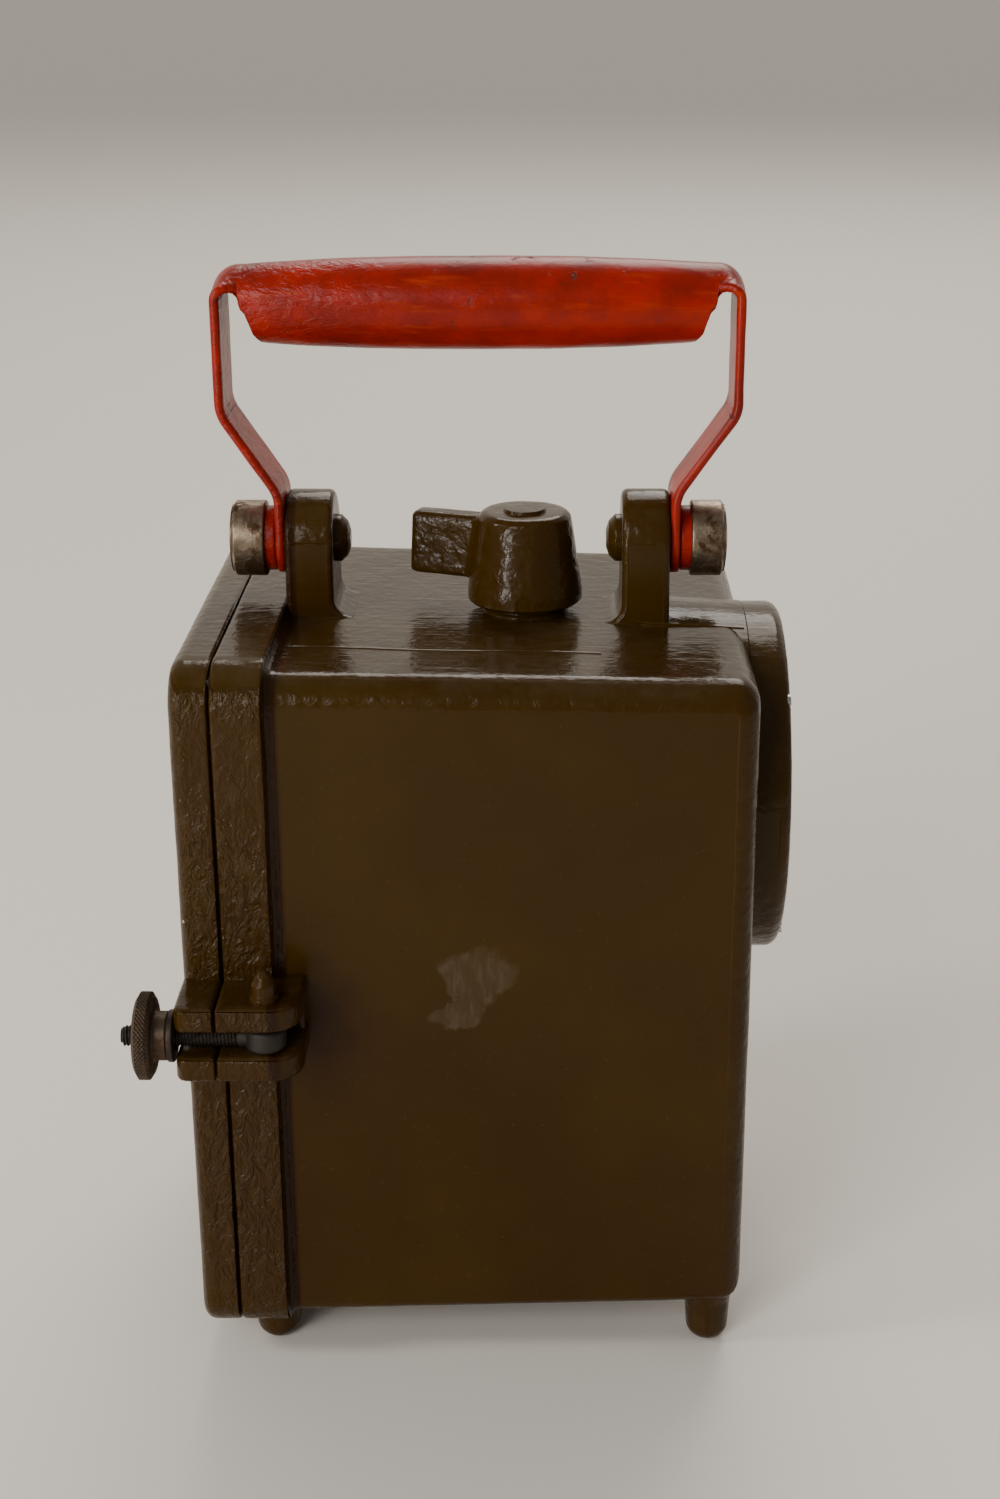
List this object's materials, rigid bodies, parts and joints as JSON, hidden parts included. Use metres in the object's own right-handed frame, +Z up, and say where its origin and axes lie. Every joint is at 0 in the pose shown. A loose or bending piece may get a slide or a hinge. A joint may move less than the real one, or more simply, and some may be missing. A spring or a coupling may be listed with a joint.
{
  "type": "magic lantern",
  "caption": "Portable cast-metal battery hand lamp: box case with end lens, folding handle, rotary top switch and hinged rear cover held by a swing bolt.",
  "frame": {"origin": "centre of the four feet, on the floor under them", "axes": "+X out of the lens, +Y to the cover's hinge side, +Z up"},
  "size_m": [0.169, 0.1731, 0.2859],
  "materials": {
    "bare_steel": "worn",
    "battery_plastic": "satin",
    "brass": "satin",
    "bulb_glass": "clear",
    "lens_glass": "clear",
    "olive_paint": "gloss",
    "phenolic": "satin",
    "red_paint": "gloss",
    "reflector_chrome": "mirror",
    "rubber": "matt",
    "rusty_steel": "dull",
    "zinc_steel": "satin"
  },
  "bodies": {
    "case": {"battery_case": "battery_plastic", "battery_lid": "battery_plastic", "battery_stud_far": "brass", "battery_stud_near": "brass", "bezel_ring": "olive_paint", "bezel_screw_1": "zinc_steel", "bezel_screw_2": "zinc_steel", "bezel_screw_3": "zinc_steel", "bezel_screw_4": "zinc_steel", "bulb_base": "brass", "bulb_glass": "bulb_glass", "bulb_holder": "phenolic", "bulb_strip": "brass", "case_casting": "olive_paint", "case_hinge_high": "olive_paint", "case_hinge_low": "olive_paint", "contact_board": "phenolic", "contact_strip_far": "brass", "contact_strip_near": "brass", "filler_cap_far": "battery_plastic", "filler_cap_near": "battery_plastic", "foot_front_far": "olive_paint", "foot_front_near": "olive_paint", "foot_rear_far": "olive_paint", "foot_rear_near": "olive_paint", "hinge_pin_high": "zinc_steel", "hinge_pin_low": "zinc_steel", "latch_pin": "olive_paint", "lens_gasket": "rubber", "lens_glass": "lens_glass", "pivot_nut_left": "olive_paint", "pivot_nut_right": "olive_paint", "pivot_screw_left": "bare_steel", "pivot_screw_right": "bare_steel", "reflector": "reflector_chrome", "switch_bush": "brass"},
    "cover": {"cover_casting": "olive_paint", "cover_hinge_high": "olive_paint", "cover_hinge_low": "olive_paint", "cover_seal": "rubber", "pressure_plate": "zinc_steel", "pressure_spring_1": "zinc_steel", "pressure_spring_2": "zinc_steel"},
    "handle": {"carrying_handle": "red_paint", "handle_bush_left": "red_paint", "handle_bush_right": "red_paint"},
    "switch": {"switch_knob": "olive_paint", "switch_rotor": "phenolic", "switch_spindle": "zinc_steel"},
    "latch": {"swing_bolt": "rusty_steel"},
    "washer": {"latch_washer": "rusty_steel"},
    "nut": {"thumb_nut": "rusty_steel"}
  },
  "joints": [
    {"name": "handle_fold", "type": "hinge", "parent": "case", "child": "handle", "pos_m": [-0.0037, 0, 0.212], "axis": [1, 0, 0], "range_deg": [-88, 88]},
    {"name": "switch_turn", "type": "hinge", "parent": "case", "child": "switch", "pos_m": [0.00865, 0, 0.194], "axis": [0, 0, 1], "range_deg": [-70, 70]},
    {"name": "latch_swing", "type": "hinge", "parent": "case", "child": "latch", "pos_m": [-0.05545, -0.08, 0.105], "axis": [0, 0, -1], "range_deg": [-100, 0]},
    {"name": "cover_hinge", "type": "hinge", "parent": "case", "child": "cover", "pos_m": [-0.07245, 0.0766, 0.1045], "axis": [0, 0, -1], "range_deg": [0, 105]},
    {"name": "nut_release", "type": "hinge", "parent": "latch", "child": "washer", "pos_m": [-0.07245, 0.0766, 0.105], "axis": [0, 0, -1], "range_deg": [0, 105]},
    {"name": "nut_spin", "type": "hinge", "parent": "washer", "child": "nut", "pos_m": [-0.07965, -0.08, 0.105], "axis": [-1, 0, 0], "continuous": true}
  ],
  "couplings": [
    {"joint": "nut_release", "follows": "cover_hinge", "ratio": 1}
  ]
}
